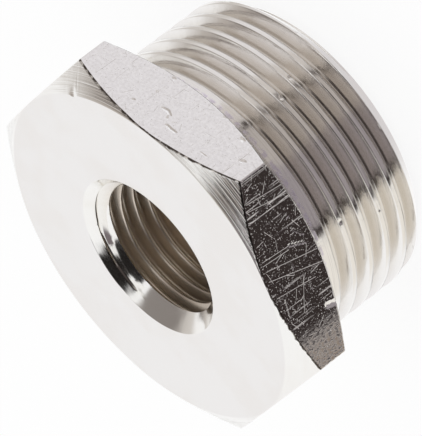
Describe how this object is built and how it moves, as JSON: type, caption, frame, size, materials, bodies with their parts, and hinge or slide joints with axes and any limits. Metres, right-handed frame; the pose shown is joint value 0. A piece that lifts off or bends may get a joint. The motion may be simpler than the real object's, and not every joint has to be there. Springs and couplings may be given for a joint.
{
  "type": "hex bushing",
  "caption": "Hexagonal reducing bushing in plated brass: a spanner head on a male pipe thread, with a smaller female pipe thread through its middle and a countersunk mouth.",
  "frame": {"origin": "middle of the threaded end's face, which the bushing stands on", "axes": "+Z along the common axis of both threads, towards the hexagon; +X towards a corner of the hexagon"},
  "size_m": [0.0346, 0.03, 0.0175],
  "materials": {
    "plated_brass": "bright nickel plate over turned and drawn brass"
  },
  "bodies": {
    "root": {"hex_bushing": "plated_brass"}
  },
  "joints": []
}
